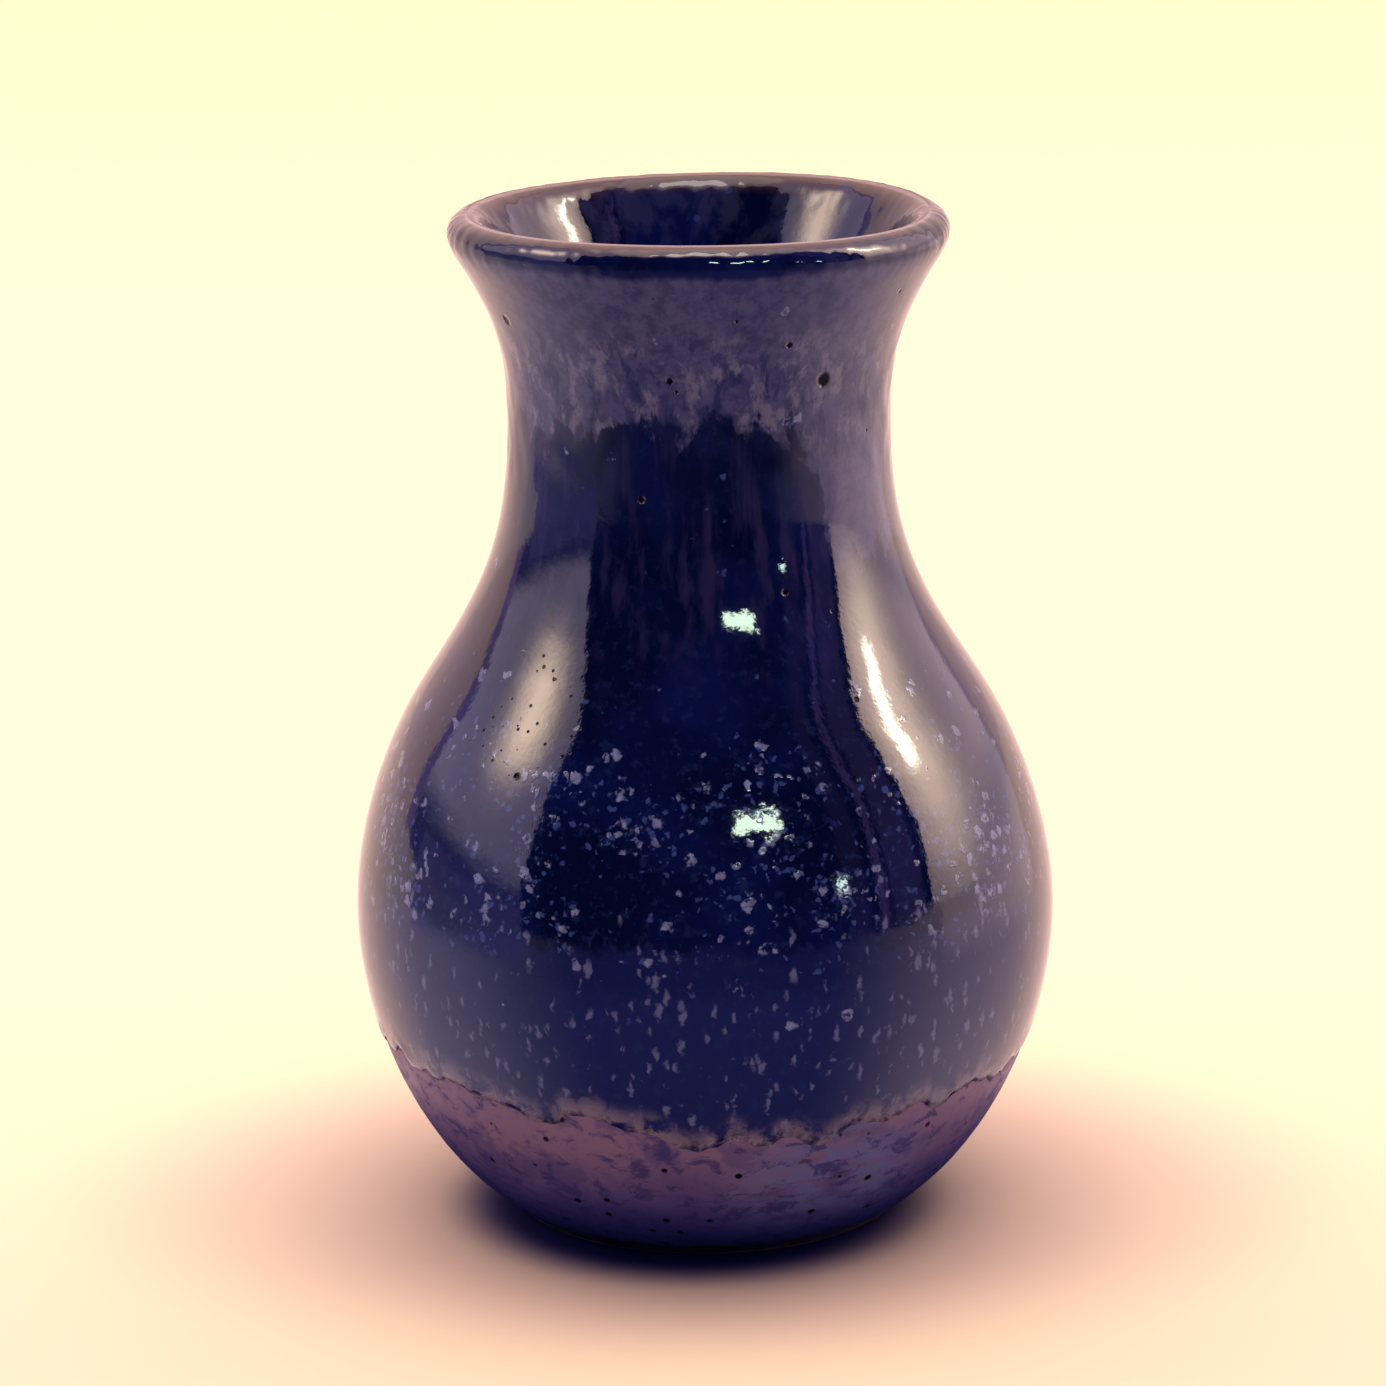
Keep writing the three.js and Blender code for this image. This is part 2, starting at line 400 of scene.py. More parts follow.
def clay_body():
    """The fired clay: trimmed foot ring and recess, and the wall that the coats cover."""
    azimuth = azimuths(CLAY_COLUMNS)
    foot = rounded_underside()
    radius, height = (values[:, None] + np.zeros(azimuth.shape) for values in foot.T)
    points = around(radius, height, azimuth)
    heel = foot[:, 0].max()
    recess = 1 - smooth_step(radius, heel - 11 * MM, heel - 8 * MM)
    turn = azimuth / (2 * math.pi)
    trimming = 0.12 * MM * np.sin(2 * math.pi * (radius / (2.3 * MM) + turn))
    grit = 0.05 * MM * lumps(points, 1.1 * MM, seed=41)
    height = np.maximum(height + (trimming + grit) * recess * smooth_step(radius, 0, 2 * MM), 0)
    underside = around(radius, height, azimuth)
    place = np.linspace(0, WALL.end - POLE_GAP, CLAY_ROWS)[1:, None]
    wall = around(*WALL.at(place), azimuth)
    return turned_piece("clay_body_turned", hand_thrown(np.concatenate([underside, wall])), poles=True)


# ---------------------------------------------------------------------------------------------------------
# Shader graphs
# ---------------------------------------------------------------------------------------------------------

class Graph:
    """Adds nodes to a node tree. A value is a number, a tuple or another node's output."""

    def __init__(self, tree):
        self.tree = tree

    def feed(self, socket, value):
        """Links another node's output to a socket, or sets a plain value on it."""
        if isinstance(value, bpy.types.NodeSocket):
            self.tree.links.new(value, socket)
        else:
            socket.default_value = value

    def node(self, kind, inputs, output=0, **settings):
        node = self.tree.nodes.new(kind)
        for name, value in settings.items():
            setattr(node, name, value)
        for key, value in inputs.items():
            self.feed(node.inputs[key], value)
        return node.outputs[output]

    def math(self, operation, *values):
        return self.node("ShaderNodeMath", dict(enumerate(values)), operation=operation)

    def add(self, a, b):
        return self.math("ADD", a, b)

    def times(self, first, *others):
        for other in others:
            first = self.math("MULTIPLY", first, other)
        return first

    def scaled(self, value, factor, offset):
        """value * factor + offset"""
        return self.math("MULTIPLY_ADD", value, factor, offset)

    def step(self, value, low, high, low_value=0.0, high_value=1.0):
        """Turns smoothly from one value to another as a value goes from low to high."""
        inputs = {0: value, 1: low, 2: high, 3: low_value, 4: high_value}
        return self.node("ShaderNodeMapRange", inputs, interpolation_type="SMOOTHSTEP")

    def fade(self, value, low, high):
        """Turns smoothly from 1 to 0 as a value goes from low to high."""
        return self.step(value, low, high, 1.0, 0.0)

    def window(self, value, low, high, soft):
        """1 between two values and 0 outside them, with soft ends."""
        rise = self.step(value, low - soft / 2, low + soft / 2)
        fall = self.fade(value, high - soft / 2, high + soft / 2)
        return self.times(rise, fall)

    def mix(self, factor, a, b):
        inputs = {0: factor, 6: a, 7: b}
        return self.node("ShaderNodeMix", inputs, output=2, data_type="RGBA")

    def vector(self, operation, a, b):
        return self.node("ShaderNodeVectorMath", {0: a, 1: b}, operation=operation)

    def distance(self, a, b):
        return self.node("ShaderNodeVectorMath", {0: a, 1: b}, output=1, operation="DISTANCE")

    def split(self, vector):
        parts = self.node("ShaderNodeSeparateXYZ", {0: vector}).node.outputs
        return parts[0], parts[1], parts[2]

    def stretched(self, place, *scale):
        """A place scaled along each axis. A pattern that follows it is longer where the scale is small."""
        return self.vector("MULTIPLY", place, scale)

    def noise(self, vector, size, detail=2.0, roughness=0.5, distortion=0.0):
        inputs = {
            "Vector": vector,
            "Scale": 1 / size,
            "Detail": detail,
            "Roughness": roughness,
            "Distortion": distortion,
        }
        return self.node("ShaderNodeTexNoise", inputs)

    def shaken(self, place, size, shift):
        """A place moved about by noise, which roughens the outline of a pattern that follows it."""
        inputs = {"Vector": place, "Scale": 1 / size, "Detail": 3.0}
        wobble = self.node("ShaderNodeTexNoise", inputs, output=1)
        inputs = {0: self.vector("SUBTRACT", wobble, (0.5, 0.5, 0.5)), 1: (shift, shift, shift), 2: place}
        return self.node("ShaderNodeVectorMath", inputs, operation="MULTIPLY_ADD")

    def grains(self, vector, size, share, smallest, largest, soft=0.06):
        """Separate blobs, one in each Voronoi cell that its own random number lets through."""
        inputs = {"Vector": vector, "Scale": 1 / size, "Randomness": 1.0}
        cells = self.node("ShaderNodeTexVoronoi", inputs).node
        chance, girth, _ = self.split(cells.outputs["Color"])
        present = self.math("LESS_THAN", chance, share)
        radius = self.node("ShaderNodeMapRange", {0: girth, 3: smallest, 4: largest})
        inside = self.math("SUBTRACT", radius, cells.outputs["Distance"])
        return self.times(present, self.step(inside, -soft, soft))

    def near(self, place, azimuth, height, radius, soft=0.35):
        """1 near a point of the outer glaze, in degrees and millimetres, fading over 2 * soft radii."""
        across = WALL.at(WALL.outside(height * MM), GLAZE_DEPTH)[0]
        angle = azimuth * DEG
        centre = (across * math.sin(angle), -across * math.cos(angle), height * MM)
        inner, outer = radius * (1 - soft) * MM, radius * (1 + soft) * MM
        return self.fade(self.distance(place, centre), inner, outer)

    def bump(self, height, distance, normal=None):
        inputs = {"Height": height, "Distance": distance}
        if normal is not None:
            inputs["Normal"] = normal
        return self.node("ShaderNodeBump", inputs)

    def sink(self, pits, depth, normal):
        """A bump that sinks where pits is 1."""
        return self.bump(self.math("SUBTRACT", 1.0, pits), depth, normal)


def new_material(name):
    """A material, its graph, its main shader, and the place on the vase that its patterns follow."""
    material = bpy.data.materials.new(name)
    material.use_nodes = True
    graph = Graph(material.node_tree)
    shader = material.node_tree.nodes["Principled BSDF"]
    place = graph.node("ShaderNodeTexCoord", {}, output=3)
    return material, graph, shader, place


def link(graph, shader, **inputs):
    """Feeds the shader's inputs, named with underscores for their spaces."""
    for name, value in inputs.items():
        graph.feed(shader.inputs[name.replace("_", " ")], value)


# ---------------------------------------------------------------------------------------------------------
# Materials
# ---------------------------------------------------------------------------------------------------------

# The glazes' colours.
NAVY = (0.0010, 0.0022, 0.026, 1)
DEEP_BLUE = (0.0025, 0.0055, 0.066, 1)
# Paler blue low on the belly: partly the glaze's own, partly a painted reflection of the floor below the
# mirrored horizon.
BELLY_BLUE_AND_REFLECTION = (0.0060, 0.0095, 0.082, 1)
SMOKY_BLUE = (0.016, 0.015, 0.075, 1)
MIST = (0.008, 0.016, 0.085, 1)
BLUE_SPECK = (0.030, 0.055, 0.22, 1)
PALE_SPECK = (0.18, 0.22, 0.45, 1)
LILAC = (0.060, 0.066, 0.175, 1)
MILKY = (0.140, 0.150, 0.250, 1)
RUST = (0.070, 0.032, 0.040, 1)
PALE_EDGE = (0.175, 0.150, 0.235, 1)
# Painted shade: the pits' near-black colour stands in for the shade inside their holes.
PIT_SHADE = (0.004, 0.002, 0.006, 1)

# The wash's and the clay's.
MAUVE = (0.058, 0.047, 0.235, 1)
ROSY_MAUVE = (0.190, 0.124, 0.250, 1)
WET_MAUVE = (0.048, 0.041, 0.200, 1)
ASH_BLUE = (0.105, 0.118, 0.350, 1)
PLUM = (0.027, 0.025, 0.160, 1)
# Painted shade: the wash darkened to navy near the floor.
FOOT_NAVY_PAINTED_SHADE = (0.015, 0.020, 0.190, 1)
BUFF = (0.30, 0.19, 0.13, 1)
BROWN = (0.17, 0.09, 0.06, 1)
IRON_SPECK = (0.03, 0.018, 0.015, 1)
# The wash's stain on the foot's bevel, darkened with painted shade where it meets the floor.
FOOT_STAIN_AND_SHADE = (0.012, 0.010, 0.045, 1)

GLAZE_IOR = 1.52
LINER_IOR = 1.46
WASH_IOR = 1.5
CLAY_IOR = 1.45
GLAZE_ROUGHNESS = 0.045
LINER_ROUGHNESS = 0.05
CLAY_ROUGHNESS = 0.85

# Heights that the glazes' zones start and end at, or between which they come in or go out.
SPECKLES_COME_IN = (46 * MM, 57 * MM)
SPECKLES_GO_OUT = (64 * MM, 90 * MM)
DASHES_GO_OUT = (48 * MM, 60 * MM)
BELLY_BLUE_AND_REFLECTION_GOES_OUT = (56.5 * MM, 58.5 * MM)
MIST_THINS = (60 * MM, 120 * MM)
THROAT = (92 * MM, 124 * MM)
NECK = (119 * MM, 136 * MM)
LILAC_COMES_IN = (132.4 * MM, 134.6 * MM) # before its drips, which lower it by about 11 mm
LILAC_GOES_OUT = (146.6 * MM, 148 * MM)
OUTER_RUST_COMES_IN = (149.8 * MM, 151.0 * MM)
INNER_RUST_COMES_IN = (148.0 * MM, 151.0 * MM)
LINER_MILK_COMES_IN = (128 * MM, 147 * MM)
EDGE_CRAWL = (0.8 * MM, 5.4 * MM) # up from the outer glaze's lower edge

# The larger pinholes in the outer glaze: azimuth, height and radius, in degrees and millimetres.
PINHOLES = [
    (37.9, 129.1, 1.00),
    (-61.6, 136.7, 0.75),
    (59.0, 140.8, 0.50),
    (-8.0, 130.2, 0.50),
    (25.0, 135.0, 0.45),
    (9.7, 139.2, 0.28),
    (59.1, 120.0, 0.28),
    (-36.3, 74.9, 0.55),
    (22.8, 99.6, 0.45),
    (-17.0, 113.0, 0.50),
    (34.8, 84.5, 0.40),
    (128.0, 96.0, 0.60),
    (-141.0, 84.0, 0.70),
    (171.0, 126.0, 0.55),
]
PITTED_SPOT = (-36.0, 81.7, 7.0) # a patch of many tiny ones on the shoulder
ASHY_SPOT = (24.0, 13.5, 13.0) # a greyer patch in the wash


def glaze_speckles(graph, place, height):
    """Pale crystals in broken clusters, densest on the belly, and soft vertical dashes under them."""
    shaken = graph.shaken(place, 1.3 * MM, 1.9 * MM)
    crowd = graph.step(graph.noise(place, 11 * MM, 3.0), 0.44, 0.64)
    belt = graph.times(graph.step(height, *SPECKLES_COME_IN), graph.fade(height, *SPECKLES_GO_OUT))
    dense = graph.times(belt, graph.scaled(crowd, 0.80, 0.12))
    share = graph.add(dense, graph.times(crowd, 0.03))
    broken = graph.step(graph.noise(place, 0.9 * MM, 2.0), 0.34, 0.50)
    big = graph.times(graph.grains(shaken, 2.0 * MM, share, 0.16, 0.46, 0.08), broken)
    small = graph.grains(shaken, 1.1 * MM, share, 0.15, 0.5, 0.12)
    dash_share = graph.times(graph.fade(height, *DASHES_GO_OUT), 0.42)
    dashes = graph.grains(graph.stretched(shaken, 1.0, 1.0, 0.42), 1.2 * MM, dash_share, 0.08, 0.42, 0.2)
    return big, small, dashes


def pinholes(graph, place):
    """Pits where gas broke through the glaze: the large ones, a patch of tiny ones, and a few stray ones."""
    patch = graph.near(place, *PITTED_SPOT, 0.6)
    tiny = graph.grains(place, 1.25 * MM, graph.times(patch, 0.5), 0.10, 0.26)
    stray = graph.grains(place, 3.1 * MM, 0.03, 0.04, 0.10, 0.03)
    pits = graph.math("MAXIMUM", tiny, stray)
    for pinhole in PINHOLES:
        pits = graph.math("MAXIMUM", pits, graph.near(place, *pinhole))
    return pits


def clouded_blue(graph, place, size):
    """The deep blue that both glazes start from, in clouds of a size."""
    return graph.mix(graph.step(graph.noise(place, size, 3.0), 0.4, 0.66), NAVY, DEEP_BLUE)


def glaze_body(graph, place, height):
    """The outer glaze's blue, with smoky threads down the throat. Low on the belly it is paler: partly the
    glaze's own colour, partly a painted reflection of the floor.
    """
    cloud = graph.noise(place, 7 * MM, 3.0, 0.6)
    # paler below the belly's mirrored horizon: partly the glaze, partly a painted reflection of the floor
    low = graph.fade(graph.scaled(cloud, 9 * MM, height), *BELLY_BLUE_AND_REFLECTION_GOES_OUT)
    colour = graph.mix(low, clouded_blue(graph, place, 20 * MM), BELLY_BLUE_AND_REFLECTION)
    threads = graph.noise(graph.stretched(place, 1.0, 1.0, 0.12), 2.6 * MM, 3.0, 0.6)
    throat = graph.window(height, *THROAT, 22 * MM)
    return graph.mix(graph.times(throat, graph.step(threads, 0.46, 0.70)), colour, SMOKY_BLUE)


def milky_neck(graph, place, colour):
    """Thin lilac glaze from under the lip down to a dripping border, with milky curds and dark blots."""
    across, _, height = graph.split(place)
    drips = graph.noise(graph.stretched(place, 1.0, 1.0, 0.55), 4.2 * MM, 4.0, 0.6, 0.4)
    run_down = graph.step(across, 14 * MM, 20 * MM, 0.0, 20 * MM) # it ran furthest on the right
    drip_line = graph.add(graph.scaled(drips, 22 * MM, height), run_down)
    thin = graph.times(
        graph.step(drip_line, *LILAC_COMES_IN),
        graph.fade(graph.scaled(drips, 3 * MM, height), *LILAC_GOES_OUT),
    )
    mottled = graph.step(graph.noise(place, 2.4 * MM, 4.0, 0.65), 0.36, 0.62, 0.55, 1.0)
    colour = graph.mix(graph.times(thin, mottled, 0.95), colour, LILAC)
    on_neck = graph.window(height, *NECK, 9 * MM)
    milk = graph.noise(graph.stretched(place, 1.0, 1.0, 0.6), 3.2 * MM, 5.0, 0.65, 0.3)
    colour = graph.mix(graph.times(on_neck, thin, graph.step(milk, 0.50, 0.62), 0.7), colour, MILKY)
    blots = graph.noise(graph.stretched(place, 1.0, 1.0, 0.35), 2.6 * MM, 3.0, 0.6, 0.4)
    return graph.mix(graph.times(on_neck, graph.step(blots, 0.52, 0.64), 0.6), colour, DEEP_BLUE)


def rusty_rim(graph, place, height, colour, comes_in):
    """The top of the lip, where the glaze is so thin that the clay's iron shows through."""
    uneven = graph.scaled(graph.noise(place, 2.5 * MM), 2 * MM, height)
    return graph.mix(graph.step(uneven, *comes_in), colour, RUST)


def crystals(graph, place, height, colour):
    """A blue mist and the speckles over a colour. Also gives where the big ones are, since they stand up."""
    big, small, dashes = glaze_speckles(graph, place, height)
    mist = graph.step(graph.noise(place, 1.5 * MM, 4.0, 0.65), 0.52, 0.70)
    colour = graph.mix(graph.times(mist, graph.step(height, *MIST_THINS, 0.85, 0.35)), colour, MIST)
    colour = graph.mix(graph.times(small, 0.9), colour, BLUE_SPECK)
    colour = graph.mix(graph.times(dashes, 0.46), colour, PALE_SPECK)
    cloudy = graph.step(graph.noise(place, 1.3 * MM, 2.0), 0.3, 0.7, 0.45, 1.0)
    return graph.mix(graph.times(big, cloudy, 0.95), colour, PALE_SPECK), big


def orange_peel(graph, place):
    return graph.bump(graph.noise(place, 0.9 * MM, 2.0), 0.012 * MM)


def outer_glaze_material():
    material, graph, shader, place = new_material("cobalt_gloss_glaze")
    _, _, height = graph.split(place)
    colour = milky_neck(graph, place, glaze_body(graph, place, height))
    colour = rusty_rim(graph, place, height, colour, OUTER_RUST_COMES_IN)
    colour, big = crystals(graph, place, height, colour)

    from_edge = graph.node("ShaderNodeAttribute", {}, output=2, attribute_name="from_edge")
    crawl = graph.noise(place, 3.0 * MM, 4.0, 0.6, 0.3)
    pale = graph.times(graph.fade(from_edge, *EDGE_CRAWL), graph.step(crawl, 0.36, 0.58))
    colour = graph.mix(graph.times(pale, 0.85), colour, PALE_EDGE)
    pits = pinholes(graph, place)
    # painted shade in the pinholes
    colour = graph.mix(pits, colour, PIT_SHADE)

    sunk = graph.sink(pits, 0.25 * MM, orange_peel(graph, place))
    raised = graph.bump(graph.math("MAXIMUM", big, graph.times(pale, 0.3)), 0.02 * MM, sunk)
    link(graph, shader, Base_Color=colour, Normal=raised, IOR=GLAZE_IOR)
    link(graph, shader, Roughness=graph.scaled(pale, 0.25, GLAZE_ROUGHNESS))
    link(graph, shader, Specular_IOR_Level=graph.scaled(pits, -0.42, 0.5))
    return material


def liner_material():
    material, graph, shader, place = new_material("cobalt_liner_glaze")
    _, _, height = graph.split(place)
    milk = graph.noise(graph.stretched(place, 1.0, 1.0, 0.4), 4 * MM, 4.0, 0.6, 0.3)
    milky = graph.times(graph.step(height, *LINER_MILK_COMES_IN), graph.step(milk, 0.42, 0.62), 0.3)
    colour = graph.mix(milky, clouded_blue(graph, place, 12 * MM), LILAC)
    colour = rusty_rim(graph, place, height, colour, INNER_RUST_COMES_IN)
    specks = graph.grains(place, 1.6 * MM, 0.035, 0.15, 0.4)
    colour = graph.mix(graph.times(specks, 0.6), colour, BLUE_SPECK)
    link(graph, shader, Base_Color=colour, Normal=orange_peel(graph, place))
    link(graph, shader, IOR=LINER_IOR, Roughness=LINER_ROUGHNESS)
    return material


def wash_colour(graph, place, blotch):
    """Mauve, rosy higher up and darkened to navy at the foot by painted shade, with wet marks, an ashy patch
    and brushed blotches.
    """
    _, _, height = graph.split(place)
    cloud = graph.noise(place, 16 * MM, 2.0)
    rosy = graph.step(graph.scaled(cloud, 16 * MM, height), 16 * MM, 34 * MM)
    colour = graph.mix(rosy, MAUVE, ROSY_MAUVE)
    wet = graph.noise(place, 7 * MM, 4.0, 0.6, 0.4)
    colour = graph.mix(graph.times(graph.step(wet, 0.50, 0.62), 0.55), colour, WET_MAUVE)
    streaks = graph.noise(graph.stretched(place, 0.6, 0.6, 1.4), 4.5 * MM, 4.0, 0.6)
    ash = graph.times(graph.near(place, *ASHY_SPOT, 0.45), graph.step(streaks, 0.32, 0.50))
    colour = graph.mix(ash, colour, ASH_BLUE)
    colour = graph.mix(graph.times(graph.step(blotch, 0.52, 0.64), 0.80), colour, PLUM)
    # painted shade: darker navy towards the foot, near the floor
    foot = graph.fade(graph.scaled(cloud, 6 * MM, height), 7 * MM, 19 * MM)
    return graph.mix(graph.times(foot, 0.90), colour, FOOT_NAVY_PAINTED_SHADE)


def wash_material():
    material, graph, shader, place = new_material("iron_wash")
    blotch = graph.noise(graph.stretched(place, 0.8, 0.8, 1.3), 3.4 * MM, 5.0, 0.65, 0.6)
    pits = graph.grains(place, 2.1 * MM, 0.12, 0.12, 0.3)
    # painted shade in the wash's pock marks
    colour = graph.mix(pits, wash_colour(graph, place, blotch), PIT_SHADE)
    grain = graph.bump(graph.noise(place, 0.5 * MM, 3.0), 0.03 * MM)
    sunk = graph.sink(pits, 0.08 * MM, grain)
    link(graph, shader, Base_Color=colour, Normal=sunk, IOR=WASH_IOR, Specular_IOR_Level=0.25)
    link(graph, shader, Roughness=graph.step(blotch, 0.35, 0.7, 0.40, 0.58))
    return material


def clay_material():
    """Bare buff stoneware; over the foot's bevel, where the wash thins out, it is stained and darkened near
    the floor with painted shade.
    """
    material, graph, shader, place = new_material("fired_stoneware")
    colour = graph.mix(graph.step(graph.noise(place, 9 * MM, 4.0), 0.4, 0.65), BUFF, BROWN)
    specks = graph.grains(place, 1.1 * MM, 0.16, 0.1, 0.34)
    colour = graph.mix(graph.times(specks, 0.8), colour, IRON_SPECK)
    _, _, height = graph.split(place)
    # the bevel: the wash's stain, made dark as painted shade at the floor
    on_bevel = graph.times(
        graph.step(height, 0.2 * MM, 0.7 * MM),
        graph.fade(height, 2.2 * MM, 2.4 * MM),
    )
    colour = graph.mix(on_bevel, colour, FOOT_STAIN_AND_SHADE)
    sand = graph.bump(graph.noise(place, 0.35 * MM, 4.0, 0.7), 0.05 * MM)
    link(graph, shader, Base_Color=colour, Normal=sand, Roughness=CLAY_ROUGHNESS, IOR=CLAY_IOR)
    return material


# ---------------------------------------------------------------------------------------------------------
# Floor
# ---------------------------------------------------------------------------------------------------------

FLOOR_REACH = 4.0
CREAM = (0.93, 0.80, 0.59, 1)
# Painted shade: the paper is darker towards the front and a little darker far back, where less light falls.
FRONT_SHADED_CREAM = (0.80, 0.66, 0.53, 1)
FAR_SHADED_CREAM = (0.84, 0.715, 0.49, 1)
PAINTED_ROSE_SHADE = (0.64, 0.49, 0.43, 1) # painted shade on the paper round the vase
PAINTED_DEEP_SHADOW = (0.03, 0.03, 0.20, 1) # painted shadow on the paper right under it
MIRRORED_SHADE = (0.01, 0.01, 0.06, 1)
MIRRORED_SHADE_RADIUS = 62 * MM


def stage_sheet(name, corners, material):
    """A flat polygon that belongs to the stage, not to the vase."""
    mesh = bpy.data.meshes.new(name)
    mesh.from_pydata(corners, [], [range(len(corners))])
    mesh.materials.append(material)
    sheet = bpy.data.objects.new(name, mesh)
    bpy.context.scene.collection.objects.link(sheet)
    return sheet


def floor():
    """A sheet of pale paper with painted shade: warmer and darker towards the front, a little darker far
    back, rosy round the vase and dark navy right under it.
    """
    material, graph, shader, place = new_material("pale_paper_painted_shade")
    _, y, _ = graph.split(place)
    # painted shade: the paper darker towards the front and a little darker far back
    colour = graph.mix(graph.step(y, -0.25, 0.30), FRONT_SHADED_CREAM, CREAM)
    colour = graph.mix(graph.step(y, 0.4, 1.6), colour, FAR_SHADED_CREAM)
    # painted shade round the vase, rosy, and a dark painted shadow right under it
    away = graph.distance(graph.stretched(place, 1.0, 1.35, 1.0), (0, 0, 0))
    colour = graph.mix(graph.step(away, 0.056, 0.106, 0.9, 0.0), colour, PAINTED_ROSE_SHADE)
    under = graph.distance(place, (-0.002, -0.004, 0))
    colour = graph.mix(graph.fade(under, 0.028, 0.040), colour, PAINTED_DEEP_SHADOW)
    link(graph, shader, Base_Color=colour, Roughness=0.9, Specular_IOR_Level=0.1)
    corners = [(x * FLOOR_REACH, y * FLOOR_REACH, 0) for x, y in ((-1, -1), (1, -1), (1, 1), (-1, 1))]
    sheet = stage_sheet("floor", corners, material)
    sheet.visible_glossy = False # the mirrored tent below has a floor of its own


def mirrored_shade():
    """A dark disc under the vase that only its mirror sees, where the light can't reach the paper."""
    material, graph, shader, _ = new_material("shade")
    link(graph, shader, Base_Color=MIRRORED_SHADE, Roughness=1.0, Specular_IOR_Level=0.0)
    turns = azimuths(64).tolist()
    rim = [(MIRRORED_SHADE_RADIUS * math.cos(t), MIRRORED_SHADE_RADIUS * math.sin(t), 0) for t in turns]
    disc = stage_sheet("shade_under_vase", rim, material)
    disc.visible_camera = False
    disc.visible_diffuse = False
    disc.visible_shadow = False
    disc.visible_transmission = False


# ---------------------------------------------------------------------------------------------------------
# Light. A direction is a pair of outputs, azimuth and elevation, and its numbers are in degrees.
# ---------------------------------------------------------------------------------------------------------

# What lights the vase and the floor.
TOP_LIGHT = (3.5, 2.75, 2.3, 1)
HIGH_BACK_LIGHT = (3.0, 2.35, 2.0, 1)
LOW_BACK_LIGHT = (0.55, 0.36, 0.36, 1)
HIGH_SIDE_LIGHT = (0.95, 0.66, 0.66, 1)
LOW_SIDE_LIGHT = (0.40, 0.22, 0.30, 1)
FRONT_LIGHT = (0.02, 0.035, 0.14, 1)
SEEN_CREAM = (1.5, 1.02, 0.72, 1) # past the floor's end

# What the glaze mirrors: the tent's cloth, its panels, its dark opening and its lamps.
LOW_CLOTH, HIGH_CLOTH = (1.25, 0.82, 0.80, 1), (2.0, 1.5, 1.3, 1)
LEFT_PANEL = (-118.5, -60.0)
LEFT_PANEL_LOW, LEFT_PANEL_HIGH = (0.14, 0.13, 0.42, 1), (1.40, 1.18, 1.65, 1)
LEFT_GLOW = (14.0, 10.5, 8.0, 1)
RIGHT_PANEL = (80.0, 138.0)
RIGHT_PANEL_LOW, RIGHT_PANEL_HIGH = (1.3, 1.0, 1.2, 1), (2.4, 1.7, 1.9, 1)
RIGHT_GLOW, RIGHT_GLOW_CORE = (12.5, 9.2, 7.2, 1), (34.0, 31.0, 24.0, 1)
LEFT_SEAM, RIGHT_SEAM = (0.35, 0.24, 0.8, 1), (0.9, 0.6, 0.8, 1)
OPENING = (-63.0, 80.5)
OPENING_DARK = (0.004, 0.012, 0.06, 1)
STREAK = (1.6, 0.95, 3.0, 1)
STREAKS = [(48.0, 56.0, 0.05), (60.0, 63.0, 0.24), (65.0, 77.0, 0.12)] # two azimuths and a strength
LARGE_LAMP, SMALL_LAMP = (18.0, 23.0, 18.0, 1), (16.0, 22.0, 20.0, 1)
TOP_CLOTH, TOP_LAMP = (3.0, 2.5, 2.3, 1), (9.0, 8.2, 7.5, 1)

# And its floor.
SIDE_FLOOR_LEFT, SIDE_FLOOR_RIGHT = (0.95, 0.80, 1.10, 1), (1.30, 0.98, 1.15, 1)
FRONT_FLOOR_NEAR, FRONT_FLOOR_FAR = (0.09, 0.10, 0.42, 1), (0.02, 0.03, 0.14, 1)
BACK_FLOOR = (1.50, 1.00, 0.85, 1)
FLOOR_UNDER_VASE = (0.10, 0.09, 0.30, 1)
LOW_RIGHT_SHINE = (2.6, 1.8, 1.9, 1)
LOW_LEFT_SHADE = (0.32, 0.27, 0.80, 1)


def soft_light(graph, direction):
    """What lights things: bright from above and behind, weaker from the sides, dark in front."""
    azimuth, elevation = direction
    turned = graph.math("ABSOLUTE", azimuth)
    sides = graph.step(turned, 55.0, 75.0)
    behind = graph.step(turned, 95.0, 120.0)
    high = graph.step(elevation, 12.0, 36.0)
    light = graph.mix(sides, FRONT_LIGHT, graph.mix(high, LOW_SIDE_LIGHT, HIGH_SIDE_LIGHT))
    light = graph.mix(behind, light, graph.mix(high, LOW_BACK_LIGHT, HIGH_BACK_LIGHT))
    return graph.mix(graph.step(elevation, 52.0, 64.0), light, TOP_LIGHT)


def patch(graph, direction, azimuth_span, elevation_span, soft):
    """1 within a span of azimuth and one of elevation, with soft edges."""
    azimuth, elevation = direction
    return graph.times(
        graph.window(azimuth, *azimuth_span, soft),
        graph.window(elevation, *elevation_span, soft),
    )


def glow(graph, direction, centre, reach):
    """1 at a centre, fading away over a reach of azimuth and elevation."""
    parts = [
        graph.math("POWER", graph.math("DIVIDE", graph.math("SUBTRACT", value, middle), size), 2.0)
        for value, middle, size in zip(direction, centre, reach)
    ]
    return graph.math("EXPONENT", graph.times(graph.add(*parts), -1.0))


